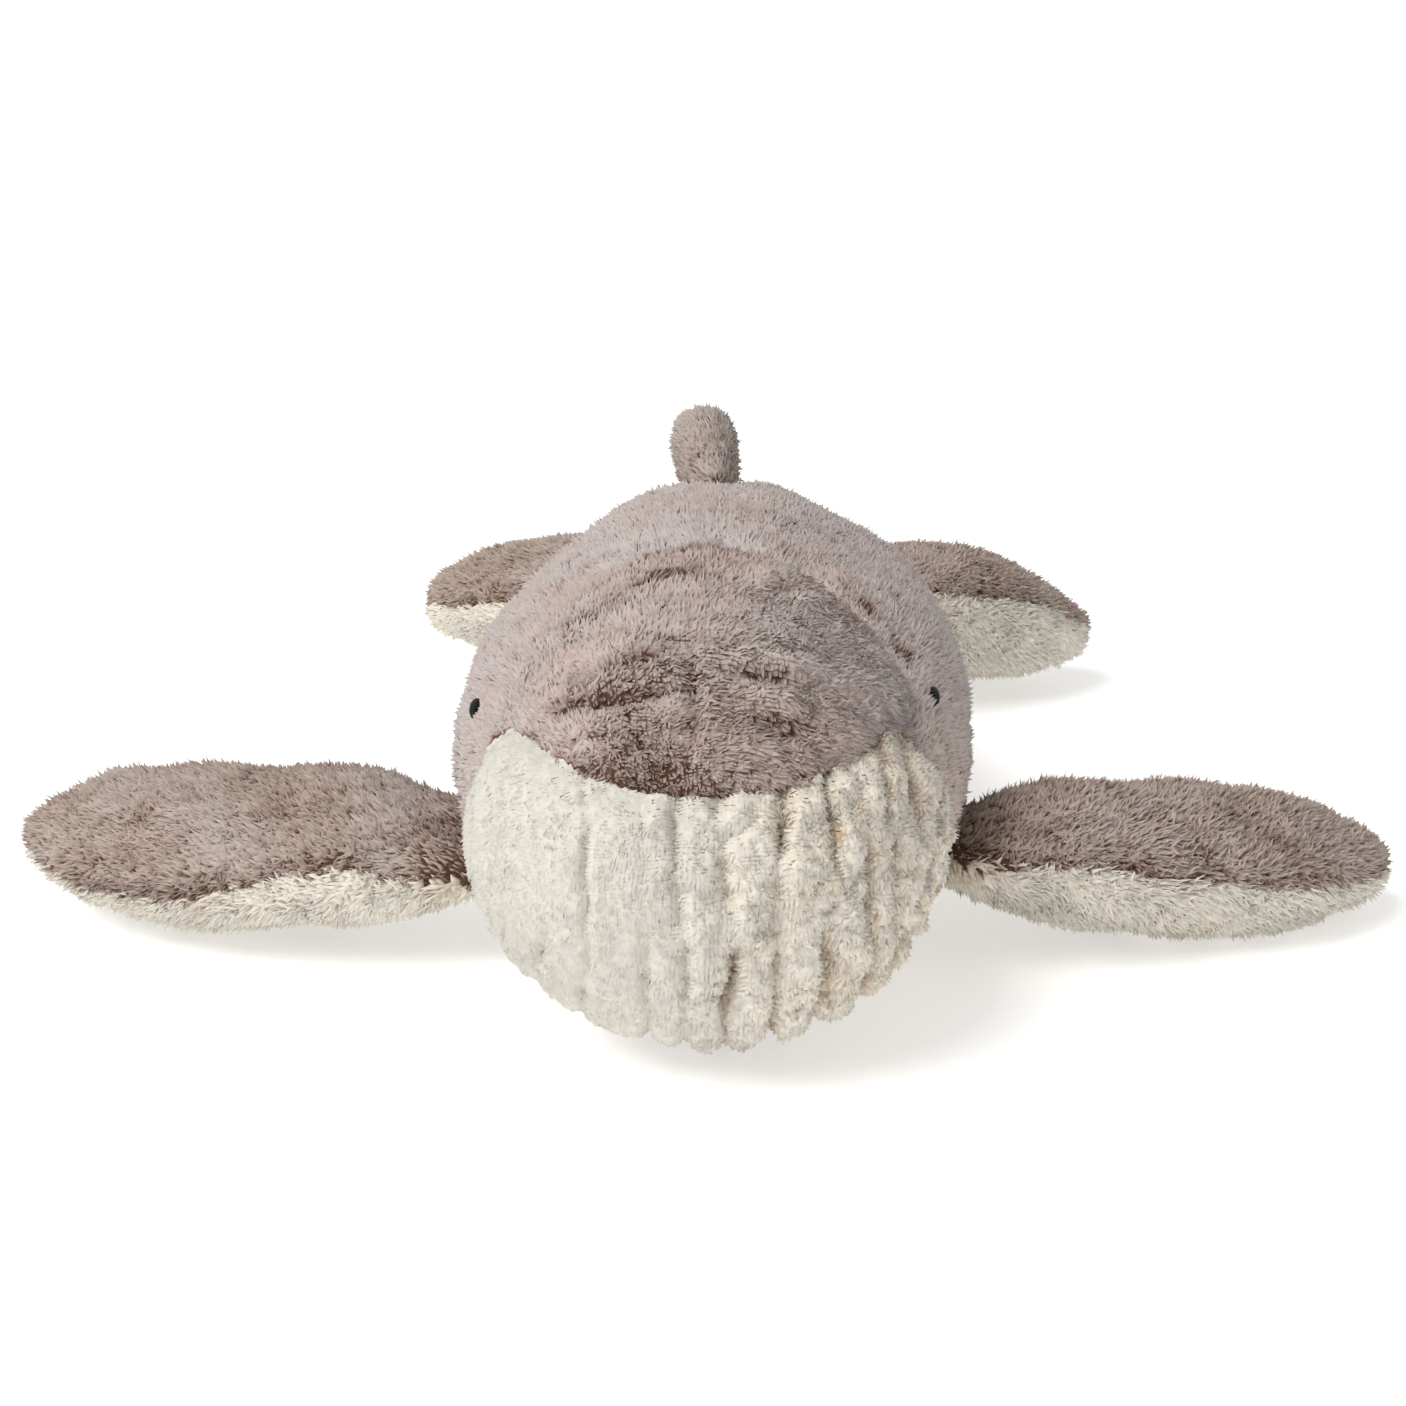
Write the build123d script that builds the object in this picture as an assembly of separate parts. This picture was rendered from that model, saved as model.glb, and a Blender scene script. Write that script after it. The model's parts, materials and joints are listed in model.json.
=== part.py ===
"""Plush baleen whale, lying on its belly with its flippers spread.

Millimetres, +Z up. The head faces -Y and the whale's own left is +X. The origin is on the surface that it
lies on, under the middle of its outline. Every fabric piece is its own solid, cut from a skin of even
thickness along the seams, and every stuffed space holds its own filling.
"""

from build123d import *
import os
from math import atan2, cos, degrees, radians, sin

# Driving dimensions ---------------------------------------------------------------------------------
body_length = 552.0        # front of the jaw to the end of the tail stock
body_width = 201.0         # widest, just behind the flippers
body_height = 168.0        # crown of the back over the underside, before the belly flattens
belly_sink = 4.0           # how far the filled belly would round out below the surface it rests on
nose_length = 94.0         # round front of the head, from the jaw to the cheeks
nose_bluntness = 2.2       # 2 is an ellipsoid, and more is squarer
tail_bend = 27.0           # sideways set of the tail, towards the whale's left

fabric = 4.0               # backing and pressed pile together
fill_gap = 0.3             # between a fabric piece and its filling
root_gap = 0.6             # between a hinged fin and the body, all the way round its travel

mouth_height = 119.0       # closed mouth line, at the front of the jaw
mouth_start = 10.0         # front of the jaw to the front of that line
mouth_rise = (45.0, 6.3)   # where the line stands highest behind the jaw's front, and how much higher
mouth_drop = 4.0           # how far it comes down again to its corner
mouth_depth = 84.0         # front of the jaw to the corner of the mouth
side_seam_height = 50.0    # seam between grey and cream along the flank
side_seam_fall = 74.0      # run of the seam from the corner of the mouth down to the flank
side_seam_bow = (0.42, 0.45)       # where that fall passes: share of its run, then share of its two heights
throat_length = 89.0       # front of the jaw to the throat's rear seam, on the underside
throat_lean = 42.0         # how much further back that seam meets the flank

forehead_length = 192.0    # front of the jaw to the top of the forehead's arch
forehead_share = 0.796     # arch, from one corner of the mouth to the other, as a share of the body's width
forehead_bow = (0.72, 0.64)        # where the arch passes: share of its half width, then share of its length

eye_depth = 140.0          # front of the jaw to the middle of an eye
left_eye_height = 115.5
right_eye_height = 111.0    # stitched a little lower than the other
eye_long = 9.0             # upright
eye_short = 6.5
eye_proud = 1.2            # satin stitching over the pile backing
eye_sunk = 1.4             # how many times that lies below the backing, as the flank curves away

flipper_depth = 174.0      # front of the jaw to the middle of a flipper's root
flipper_height = 42.8      # middle of a flipper's root
flipper_length = 185.0
flipper_chord = 98.0       # widest
flipper_thickness = 50.0   # thickest
flipper_sweep = 42.0       # how far the tip lies behind the root
flipper_root = 16.0        # thickness where it is gathered into the side seam
left_flipper_set = (5.2, 9.0)     # droop of the tip and lift of the leading edge, in degrees
right_flipper_set = (4.0, -3.0)

fin_depth = 400.0          # front of the jaw to the middle of the dorsal fin's root
fin_height = 37.0
fin_chord = 54.0
fin_thickness = 23.0
fin_sweep = 8.0
fin_root = 13.0
fin_lean = 9.0             # towards the whale's right, in degrees
fin_offset = 11.0          # its root's set from the centre line, the same way

fluke_height = 58.0        # middle of a lobe's root
fluke_length = 147.0
fluke_chord = 96.0
fluke_thickness = 54.0
fluke_sweep = 12.0         # how far the tip lies behind the middle of the root, square to the root seam
fluke_root = 16.0
fluke_toe = 16.0           # splay of a lobe's root seam from the tail's own line, in degrees
fluke_inset = 36.0         # end of the tail stock to the middle of a lobe's root
left_fluke_set = (10.5, 25.0)      # droop of the tip and lift of the leading edge, in degrees
right_fluke_set = (7.0, 12.0)

# Body outline behind the nose: distance from the cheeks to the tail's end as a share of that run, then half
# width, underside and crown as shares of half the body's width and of its height.
body_outline = (
    (0.000, 0.870, 0.055, 0.950),
    (0.110, 0.945, 0.010, 0.982),
    (0.260, 1.000, 0.000, 1.000),
    (0.430, 0.985, 0.000, 0.990),
    (0.565, 0.880, 0.020, 0.920),
    (0.700, 0.640, 0.080, 0.780),
    (0.820, 0.390, 0.155, 0.640),
    (0.900, 0.280, 0.200, 0.560),
    (0.960, 0.205, 0.225, 0.520),
    (1.000, 0.150, 0.245, 0.490),
)
nose_steps = 6             # sections round the nose, from its tip to the cheeks

# Fin outline: share of the length out from the root, of the sweep, of the chord and of the thickness.
flipper_outline = (
    (0.00, 0.00, 0.76, None),
    (0.12, 0.06, 0.88, 0.78),
    (0.36, 0.28, 0.99, 1.00),
    (0.60, 0.55, 1.00, 1.00),
    (0.80, 0.80, 0.84, 0.82),
    (0.92, 0.93, 0.56, 0.54),
    (0.98, 0.99, 0.30, 0.30),
    (1.00, 1.00, 0.13, 0.13),
)
fluke_outline = (
    (0.00, 0.00, 0.66, None),
    (0.14, -0.15, 0.84, 0.76),
    (0.38, -0.20, 1.00, 1.00),
    (0.60, 0.15, 0.94, 0.96),
    (0.80, 0.60, 0.72, 0.76),
    (0.92, 0.88, 0.48, 0.52),
    (0.98, 0.98, 0.28, 0.32),
    (1.00, 1.00, 0.12, 0.14),
)
fin_outline = (
    (0.00, 0.00, 1.00, None),
    (0.30, 0.20, 0.96, 0.95),
    (0.62, 0.55, 0.80, 1.00),
    (0.84, 0.80, 0.60, 0.86),
    (0.95, 0.95, 0.40, 0.60),
    (1.00, 1.00, 0.20, 0.30),
)

reach = 2 * body_length    # further than anything goes, for the cutting shapes
front = -body_length / 2


def behind(distance):
    """Y of a point this far behind the front of the jaw."""
    return front + distance


def centre_line(y):
    """X of the body's middle: straight through the head, then easing over to the bent tail."""
    run = max(0.0, (y - behind(mouth_depth)) / (body_length - mouth_depth))
    return tail_bend * run ** 1.6


def body_stations():
    """Depth behind the jaw, half width, middle and half height at each section, the round nose first."""
    _, cheek_width, cheek_low, cheek_high = body_outline[0]
    middle = (cheek_low + cheek_high) * body_height / 2 - belly_sink
    stations = []
    for step in range(1, nose_steps):
        turn = radians(90 * step / nose_steps)
        depth = nose_length * (1 - cos(turn) ** (2 / nose_bluntness))
        share = sin(turn) ** (2 / nose_bluntness)
        half_height = (cheek_high - cheek_low) * body_height / 2
        stations.append((depth, share * cheek_width * body_width / 2, middle, share * half_height))
    for along, width, low, high in body_outline:
        depth = nose_length + along * (body_length - nose_length)
        middle = (high + low) * body_height / 2 - belly_sink
        stations.append((depth, width * body_width / 2, middle, (high - low) * body_height / 2))
    return stations


# Body -----------------------------------------------------------------------------------------------
def body_form(inset):
    """The body's outer form, or the same form with a wall of this thickness taken off all round."""
    shrink = 1 - 2 * inset / body_length
    stations = body_stations()
    tip = front * shrink
    sections = [Vertex(centre_line(tip), tip, stations[0][2])]
    for depth, half_width, middle, half_height in stations:
        y = behind(depth) * shrink
        plane = Plane(origin=(centre_line(y), y, middle), x_dir=(1, 0, 0), z_dir=(0, 1, 0))
        section = Ellipse(max(half_width - inset, 1.0), max(half_height - inset, 1.0))
        sections.append((plane * section).face())
    form = loft(sections)
    floor = Pos(0, 0, inset - reach / 2) * Box(reach, reach, reach)
    return form - floor


def prism(edges, direction):
    """A closed outline drawn at X = 0 or Z = 0, pulled both ways along a direction."""
    return extrude(make_face(edges), amount=reach, dir=direction, both=True)


def below_side_seam():
    """Everything under the mouth line and the seam that runs on from its corner along the flank."""
    corner = behind(mouth_depth)
    foot = corner + side_seam_fall
    bow_run, bow_height = side_seam_bow
    top_depth, top_lift = mouth_rise
    corner_height = mouth_height + top_lift - mouth_drop
    lead = Line((0, -reach, mouth_height), (0, behind(mouth_start), mouth_height))
    line = Spline(
        [(0, behind(mouth_start), mouth_height), (0, behind(top_depth), mouth_height + top_lift),
         (0, corner, corner_height)],
        tangents=[(0, 1, 0.2), (0, 1, -0.3)],
    )
    fall = Spline(
        [(0, corner, corner_height),
         (0, corner + bow_run * side_seam_fall, bow_height * (mouth_height + side_seam_height)),
         (0, foot, side_seam_height)],
        tangents=[(0, 0.5, -1), (0, 1, -0.12)],
    )
    run = Line((0, foot, side_seam_height), (0, reach, side_seam_height))
    under = Polyline((0, reach, side_seam_height), (0, reach, -reach), (0, -reach, -reach),
                     (0, -reach, mouth_height))
    return prism([lead, line, fall, run, under], (1, 0, 0))


def ahead_of_throat_seam():
    """Everything in front of the leaning seam between the throat and the belly."""
    low = behind(throat_length)
    rise = reach / side_seam_height
    outline = Polyline(
        (0, low - throat_lean * rise, -reach), (0, low + throat_lean * rise, reach), (0, -2 * reach, reach),
        (0, -2 * reach, -reach), (0, low - throat_lean * rise, -reach),
    )
    return prism([outline], (1, 0, 0))


def under_forehead_arch():
    """Everything inside the forehead's arch in plan, and all that lies in front of the mouth's corners."""
    corner = behind(mouth_depth)
    half = forehead_share * body_width / 2
    top = behind(forehead_length)
    bow_width, bow_length = forehead_bow
    bow_x = bow_width * half
    bow_y = corner + bow_length * (top - corner)
    arch = Spline(
        [(-half, corner, 0), (-bow_x, bow_y, 0), (0, top, 0), (bow_x, bow_y, 0), (half, corner, 0)],
        tangents=[(0, 1, 0), (0, -1, 0)],
    )
    rest = Polyline((half, corner, 0), (reach, corner, 0), (reach, -reach, 0), (-reach, -reach, 0),
                    (-reach, corner, 0), (-half, corner, 0))
    return prism([arch, rest], (0, 0, 1))


def left_of_centre():
    """Everything on the whale's left of the centre line."""
    spots = [behind(share * body_length) for share in (0.0, 0.2, 0.4, 0.6, 0.8, 1.0)]
    middle = Spline([(centre_line(y), y, 0) for y in spots])
    start, end = spots[0], spots[-1]
    rest = Polyline((centre_line(end), end, 0), (centre_line(end), reach, 0), (reach, reach, 0),
                    (reach, -reach, 0), (centre_line(start), -reach, 0), (centre_line(start), start, 0))
    return prism([middle, rest], (0, 0, 1))


def flank_at(y, z):
    """X of the flank at this place, found on the form itself."""
    probe = Pos(reach / 2, y, z) * Box(reach, 1.0, 1.0)
    return (body & probe).bounding_box().max.X


body = body_form(0)
skin = body - body_form(fabric)
cream = skin & below_side_seam()
grey = skin - below_side_seam()
flanks = grey - under_forehead_arch()

parts = {
    "throat_panel": cream & ahead_of_throat_seam(),
    "belly_panel": cream - ahead_of_throat_seam(),
    "forehead_panel": grey & under_forehead_arch(),
    "back_panel_left": flanks & left_of_centre(),
    "back_panel_right": flanks - left_of_centre(),
    "body_stuffing": body_form(fabric + fill_gap),
}

# Eyes: flat ovals of satin stitching on the flank panels ----------------------------------------------
for name, side, eye_height in (("eye_left", 1, left_eye_height), ("eye_right", -1, right_eye_height)):
    y = behind(eye_depth)
    flank = flank_at(y, eye_height)
    x = flank if side > 0 else 2 * centre_line(y) - flank
    oval = scale(Sphere(1.0), by=(eye_proud * (1 + eye_sunk), eye_short / 2, eye_long / 2))
    parts[name] = Pos(x, y, eye_height) * oval - body


# Fins -------------------------------------------------------------------------------------------------
def fin_form(outline, length, sweep, chord, thickness, root, inset):
    """A padded fin lying along +X from its root seam, its chord along Y and its thickness along Z."""
    shrink = 1 - 2 * inset / length
    sections = []
    for out, back, wide, thick in outline:
        x = inset + out * length * shrink
        half_chord = max(wide * chord / 2 - inset, 1.0)
        half_thick = max((root if thick is None else thick * thickness) / 2 - inset, 1.0)
        plane = Plane(origin=(x, back * sweep, 0), x_dir=(0, 1, 0), z_dir=(1, 0, 0))
        sections.append(plane * Ellipse(half_chord, half_thick))
    return loft(sections)


def fin_pieces(outline, length, sweep, chord, thickness, root):
    """The upper and the lower panel of a fin, sewn together round its rim, and its filling."""
    sizes = (outline, length, sweep, chord, thickness, root)
    form = fin_form(*sizes, 0)
    wall = form - fin_form(*sizes, fabric)
    upper = Pos(0, 0, reach / 2) * Box(reach, reach, reach)
    return {"top": wall & upper, "bottom": wall - upper, "stuffing": fin_form(*sizes, fabric + fill_gap)}


def seated(turn, start, inward, radius, chord):
    """Where a fin's root goes: its seam, as a rod that holds the root at every angle, stands root_gap off."""
    rod = Rot(90, 0, 0) * Cylinder(radius, chord)
    place = Vector(*start)
    for _ in range(4):
        gap = body.distance_to(Location(place) * turn * rod)
        place += Vector(*inward) * (gap - root_gap)
    return place


def paired(shape, side):
    return shape if side > 0 else mirror(shape, about=Plane.YZ)


hinges = {}
far = body_width          # where a fin starts from before it is brought in to the body


def add_fin(name, pieces, turn, start, inward, radius, chord, side=1):
    """Brings a fin in to the body and keeps its pieces and its hinge."""
    place = seated(turn, start, inward, radius, chord)
    for piece, shape in pieces.items():
        parts[f"{name}_{piece}"] = Location(place) * turn * paired(shape, side)
    tip = Location(place) * turn * Pos(0, 1, 0)
    hinges[name] = (place, tip.position - place)


flipper_sizes = (flipper_outline, flipper_length, flipper_sweep, flipper_chord, flipper_thickness, flipper_root)
fluke_sizes = (fluke_outline, fluke_length, fluke_sweep, fluke_chord, fluke_thickness, fluke_root)
fin_sizes = (fin_outline, fin_height, fin_sweep, fin_chord, fin_thickness, fin_root)

for name, side, (droop, lift) in (("left_flipper", 1, left_flipper_set), ("right_flipper", -1, right_flipper_set)):
    y = behind(flipper_depth)
    turn = Rot(0, side * droop, 0) * Rot(-lift, 0, 0)
    start = (centre_line(y) + side * far, y, flipper_height)
    chord = flipper_outline[0][2] * flipper_chord
    add_fin(name, fin_pieces(*flipper_sizes), turn, start, (-side, 0, 0), flipper_root / 2, chord, side)

for name, side, (droop, lift) in (("left_fluke", 1, left_fluke_set), ("right_fluke", -1, right_fluke_set)):
    y = behind(body_length - fluke_inset)
    heading = degrees(atan2(centre_line(y + 1) - centre_line(y - 1), 2))
    turn = Rot(0, 0, side * fluke_toe - heading) * Rot(0, side * droop, 0) * Rot(-lift, 0, 0)
    start = (centre_line(y) + side * far / 2, y, fluke_height)
    chord = fluke_outline[0][2] * fluke_chord
    add_fin(name, fin_pieces(*fluke_sizes), turn, start, (-side, 0, 0), fluke_root / 2, chord, side)

# The dorsal fin stands square to the slope of the back under its root.
fin_y = behind(fin_depth)


def crown(y):
    """Z of the back's ridge at this place."""
    probe = Pos(0, y, 0) * Box(reach, 1.0, reach)
    return (body & probe).bounding_box().max.Z


fall = crown(fin_y - fin_chord / 2) - crown(fin_y + fin_chord / 2)
slope = Vector(0, fin_chord, -fall).get_angle(Vector(0, 1, 0))
fin_turn = Rot(-slope, 0, 0) * Rot(0, -90 - fin_lean, 0)
fin_up = (0, -sin(radians(slope)), -cos(radians(slope)))
fin_start = (
    centre_line(fin_y) - fin_offset,
    fin_y + sin(radians(slope)) * far / 2,
    crown(fin_y) + cos(radians(slope)) * far / 2,
)
pieces = fin_pieces(*fin_sizes)
renamed = {"panel_right": pieces["top"], "panel_left": pieces["bottom"], "stuffing": pieces["stuffing"]}
add_fin("dorsal_fin", renamed, fin_turn, fin_start, fin_up, fin_root / 2, fin_chord)

# Origin under the middle of the outline ----------------------------------------------------------------
bounds = Compound(list(parts.values())).bounding_box()
shift = Vector(-(bounds.min.X + bounds.max.X) / 2, -(bounds.min.Y + bounds.max.Y) / 2, -bounds.min.Z)

os.makedirs("parts", exist_ok=True)
for name, shape in parts.items():
    export_step(Location(shift) * shape, f"parts/{name}.step")
print("shift", shift)
for name, (place, axis) in hinges.items():
    print(name, "hinge at", place + shift, "along", axis)
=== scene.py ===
"""Plush baleen whale: every visible piece, its pile, seams and stitched eyes, and the studio it stands in."""

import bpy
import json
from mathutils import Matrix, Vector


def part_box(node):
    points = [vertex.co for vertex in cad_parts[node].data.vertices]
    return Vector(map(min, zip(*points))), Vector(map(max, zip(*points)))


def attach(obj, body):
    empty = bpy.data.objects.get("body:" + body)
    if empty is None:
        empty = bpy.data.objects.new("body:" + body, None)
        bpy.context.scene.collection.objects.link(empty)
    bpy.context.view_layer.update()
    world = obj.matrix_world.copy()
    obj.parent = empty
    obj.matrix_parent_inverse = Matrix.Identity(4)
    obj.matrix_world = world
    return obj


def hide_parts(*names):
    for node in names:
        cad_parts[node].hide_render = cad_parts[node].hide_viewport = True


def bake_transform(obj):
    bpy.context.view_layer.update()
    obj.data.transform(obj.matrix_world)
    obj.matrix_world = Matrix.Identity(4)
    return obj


bl_info = {
    "name": "Plush Baleen Whale",
    "version": (1, 0, 0),
    "blender": (4, 5, 0),
    "location": "View3D > Sidebar > Plush Whale",
    "description": "Builds a stuffed plush whale with sewn panels and real pile around its packed model",
    "category": "Add Mesh",
}

import json
from math import cos, exp, pi, radians, sin
from random import Random

import bmesh
import bpy
from bpy.props import FloatProperty, FloatVectorProperty, PointerProperty
from mathutils import Euler, Matrix, Vector, noise
from mathutils.bvhtree import BVHTree
from mathutils.kdtree import KDTree

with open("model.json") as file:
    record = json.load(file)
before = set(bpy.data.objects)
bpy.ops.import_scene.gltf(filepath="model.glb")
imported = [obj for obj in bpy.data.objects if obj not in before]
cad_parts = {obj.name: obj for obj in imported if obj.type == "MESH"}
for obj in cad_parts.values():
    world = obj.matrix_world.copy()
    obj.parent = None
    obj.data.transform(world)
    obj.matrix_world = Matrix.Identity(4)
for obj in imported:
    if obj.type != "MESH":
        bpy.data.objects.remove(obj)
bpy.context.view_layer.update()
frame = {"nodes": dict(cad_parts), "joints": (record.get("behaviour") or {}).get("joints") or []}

MM = 0.001
BODY_PANELS = ("throat_panel", "belly_panel", "forehead_panel", "back_panel_left", "back_panel_right")
SEAM_DROPS = {"left_flipper": 2.5 * MM, "right_flipper": 7.5 * MM, "left_fluke": -2.5 * MM,
              "right_fluke": 2.0 * MM}    # how far an edge seam strays to and fro from its straight line
CREAM_PANELS = ("throat_panel", "belly_panel")
CLOTH_FRAMES = 20
SOFTNESS = 0.72            # share of the cloth's own direction in how the pile is lit
EDGE_PARTING = 0.75        # how far the edge of a clump shows the roots, with painted shade down between the clumps
FLAT_PARTING = 0.22        # the same on the back and flanks, where the pile is brushed flat
CREAM_PARTING = 0.30       # the same in the denser cream pile
HINGES = {joint["child"]: joint for joint in frame["joints"]}


# Sizes and colours that a user would change ---------------------------------------------------------
class PileSettings(bpy.types.PropertyGroup):
    """How the pile is cut and how it lies."""

    height: FloatProperty(name="Height", description="How far the tufts stand off the cloth",
                          default=2.9 * MM, unit="LENGTH")
    lay: FloatProperty(name="Lay", description="How far the tip of a tuft lies from its root along the nap",
                       default=2.6 * MM, unit="LENGTH")
    clump: FloatProperty(name="Clump", description="Width of the tufts that the pile gathers into",
                         default=3.6 * MM, unit="LENGTH")
    backing: FloatProperty(name="Backing", description="Thickness of the cloth under the pile",
                           default=1.6 * MM, unit="LENGTH")


class ClothSettings(bpy.types.PropertyGroup):
    """How the panels are sewn and filled."""

    body_grid: FloatProperty(name="Body grid", description="Size of the cloth's squares on the body",
                             default=5.6 * MM, unit="LENGTH")
    fin_grid: FloatProperty(name="Fin grid", description="Size of the cloth's squares on the fins",
                            default=5.0 * MM, unit="LENGTH")
    seam_depth: FloatProperty(name="Seam depth", description="How deep an ordinary seam pulls the cloth in",
                              default=2.4 * MM, unit="LENGTH")
    seam_width: FloatProperty(name="Seam width", description="How wide the valley at a seam is",
                              default=5.5 * MM, unit="LENGTH")


class ColourSettings(bpy.types.PropertyGroup):
    """Dye of the two plushes and of the eyes' thread, with painted sheen colours and root colours that also paint
    shade.
    """

    taupe_tip: FloatVectorProperty(name="Taupe tips", description="Grey-brown pile at its tips",
                                   default=(0.56, 0.445, 0.40), subtype="COLOR")
    # Painted sheen: a paler, greyer colour mixed in where the pile lies flat, standing in for its lustre.
    taupe_sheen: FloatVectorProperty(name="Brushed taupe", description="Grey-brown pile where it lies flat",
                                       default=(0.56, 0.505, 0.49), subtype="COLOR")
    # Root colour: the pile's darker roots, and painted shade deep in the pile and in its partings.
    taupe_root_and_shade: FloatVectorProperty(name="Taupe roots", description="Grey-brown pile at its roots",
                                    default=(0.115, 0.058, 0.037), subtype="COLOR")
    cream_tip: FloatVectorProperty(name="Cream tips", description="Cream pile at its tips",
                                   default=(0.84, 0.79, 0.69), subtype="COLOR")
    # Painted sheen on the cream: greyer and darker than its tips, so that it also tones down the side towards the
    # key light.
    cream_sheen: FloatVectorProperty(name="Brushed cream", description="Cream pile where it lies flat",
                                       default=(0.68, 0.655, 0.59), subtype="COLOR")
    # Root colour of the cream: its peach roots, and painted shade deep in the pile, in partings and in the pleats'
    # grooves.
    cream_root_and_shade: FloatVectorProperty(name="Cream roots", description="Cream pile at its roots",
                                    default=(0.54, 0.43, 0.31), subtype="COLOR")
    thread: FloatVectorProperty(name="Thread", description="Thread of the stitched eyes",
                                default=(0.012, 0.011, 0.012), subtype="COLOR")


class StudioSettings(bpy.types.PropertyGroup):
    """Camera and light."""

    camera_place: FloatVectorProperty(name="Camera", description="Where the camera stands",
                                      default=(-0.002, -1.280, 0.450), subtype="TRANSLATION")
    camera_pitch: FloatProperty(name="Pitch", description="How far the camera looks down",
                                default=radians(16.7), subtype="ANGLE")
    camera_lens: FloatProperty(name="Lens", description="Focal length on a 36 mm sensor", default=77.9)
    key_power: FloatProperty(name="Key", description="Strength of the large soft light", default=2.3)
    fill_power: FloatProperty(name="Fill", description="Brightness of the white room", default=0.45)


# Shader helpers ---------------------------------------------------------------------------------------
class Wire:
    """An output socket that can be used in arithmetic: each operator adds the Math node it needs."""

    def __init__(self, tree, socket):
        self.tree = tree
        self.socket = socket

    def maths(self, operation, *values):
        node = add_node(self.tree, "ShaderNodeMath", {"operation": operation}, dict(enumerate(values)))
        return Wire(self.tree, node.outputs[0])

    def __add__(self, other):
        return self.maths("ADD", self, other)

    def __sub__(self, other):
        return self.maths("SUBTRACT", self, other)

    def __rsub__(self, other):
        return self.maths("SUBTRACT", other, self)

    def __mul__(self, other):
        return self.maths("MULTIPLY", self, other)

    def __pow__(self, other):
        return self.maths("POWER", self, other)

    __radd__ = __add__
    __rmul__ = __mul__

    def clamp(self):
        node = add_node(self.tree, "ShaderNodeClamp", {}, {"Value": self})
        return Wire(self.tree, node.outputs[0])


def add_node(tree, kind, settings=(), sockets=()):
    """One node: its settings first, a ramp's stops among them, then its sockets' values or links."""
    node = tree.nodes.new(kind)
    for key, value in dict(settings).items():
        if key == "stops":
            while len(node.color_ramp.elements) < len(value):
                node.color_ramp.elements.new(1.0)
            for element, (place, colour) in zip(node.color_ramp.elements, value):
                element.position = place
                element.color = (*colour, 1.0)
        else:
            setattr(node, key, value)
    for key, value in dict(sockets).items():
        if isinstance(value, Wire):
            tree.links.new(value.socket, node.inputs[key])
        else:
            node.inputs[key].default_value = value
    return node


def mixed(tree, share, first, second):
    """Colour between two colours, each a Wire or three numbers."""
    a, b = (value if isinstance(value, Wire) else (*value, 1.0) for value in (first, second))
    node = add_node(tree, "ShaderNodeMix", {"data_type": "RGBA"}, {0: share, 6: a, 7: b})
    return Wire(tree, node.outputs[2])


def spots(tree, scale, detail=2.0, stretch=(1.0, 1.0, 1.0)):
    """Soft noise over the object's own coordinates, from 0 to 1, scale in spots to the metre."""
    place = add_node(tree, "ShaderNodeTexCoord")
    mapping = add_node(tree, "ShaderNodeMapping", {}, {
        "Vector": Wire(tree, place.outputs["Object"]), "Scale": stretch})
    node = add_node(tree, "ShaderNodeTexNoise", {}, {
        "Vector": Wire(tree, mapping.outputs[0]), "Scale": scale, "Detail": detail})
    return Wire(tree, node.outputs[0])


def new_material(name):
    material = bpy.data.materials.new(name)
    material.use_nodes = True
    tree = material.node_tree
    return material, tree, tree.nodes["Principled BSDF"]


def pile_material(name, tip, brushed, root, sheen, streaks):
    """Plush: dark at the roots, partly as painted shade deep in the pile, and pale at the tips, paler where the pile
    lies flat as a painted sheen, with fine fibres.

    streaks gives how often the colour changes along each axis, so that it runs on along the lie of the pile.
    """
    material, tree, surface = new_material(name)
    along, parted, flat = (
        Wire(tree, add_node(tree, "ShaderNodeAttribute", {"attribute_name": layer}).outputs["Fac"])
        for layer in ("tip", "parted", "brushed"))
    drift = spots(tree, 26.0)
    fine = spots(tree, 420.0, 3.0)
    combed = spots(tree, 170.0, 3.0, streaks)
    # Painted shade: the ramp falls towards the root colour where the pile parts and in the seams, pleats, folds and
    # crease.
    shown = (along * 0.95 + 0.42 - parted * 0.75 + (fine - 0.5) * 0.7 + (drift - 0.5) * 0.3
             + (combed - 0.5) * 1.1).clamp()
    middle = tuple(0.40 * a + 0.60 * b for a, b in zip(root, tip))
    ramp = add_node(tree, "ShaderNodeValToRGB", {"stops": ((0.0, root), (0.42, middle), (0.88, tip))},
                    {"Fac": shown})
    # Painted sheen: the share of the sheen colour, where the pile lies flat and its tips show.
    sheen_share = (flat * 1.2 + (drift - 0.5) * 0.8 + (combed - 0.5) * 1.0).clamp() * (shown * 1.3 - 0.2).clamp()
    colour = mixed(tree, sheen_share, Wire(tree, ramp.outputs[0]), brushed)
    fibres = add_node(tree, "ShaderNodeBump", {}, {"Height": fine, "Strength": 0.35, "Distance": 0.8 * MM})
    tree.links.new(colour.socket, surface.inputs["Base Color"])
    tree.links.new(fibres.outputs[0], surface.inputs["Normal"])
    surface.inputs["Roughness"].default_value = 0.92
    surface.inputs["Specular IOR Level"].default_value = 0.15
    surface.inputs["Sheen Weight"].default_value = sheen
    surface.inputs["Sheen Roughness"].default_value = 0.55
    surface.inputs["Sheen Tint"].default_value = (*brushed, 1.0)
    return material


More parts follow.
